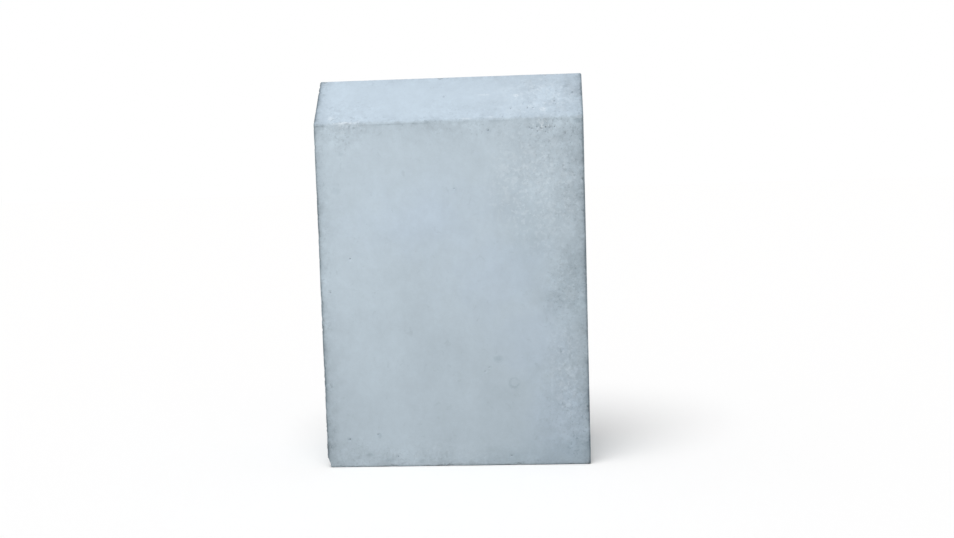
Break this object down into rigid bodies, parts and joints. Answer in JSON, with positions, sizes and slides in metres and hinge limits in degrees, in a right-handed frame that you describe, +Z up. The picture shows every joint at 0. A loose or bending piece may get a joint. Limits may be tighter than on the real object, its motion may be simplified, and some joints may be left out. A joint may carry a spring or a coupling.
{
  "type": "kerb stone",
  "caption": "Deep upright concrete kerb stone with a splayed top edge on its road face, square butting ends and a flat bed, laid end to end along a road's edge.",
  "frame": {"origin": "middle of the bedding face, halfway along the stone and halfway through its thickness", "axes": "+X along the kerb line, -Y out of the road face, +Y out of the back face, +Z up out of the flat top"},
  "size_m": [0.3, 0.15, 0.44],
  "materials": {
    "concrete": "matte"
  },
  "bodies": {
    "root": {"kerb_stone": "concrete"}
  },
  "joints": []
}
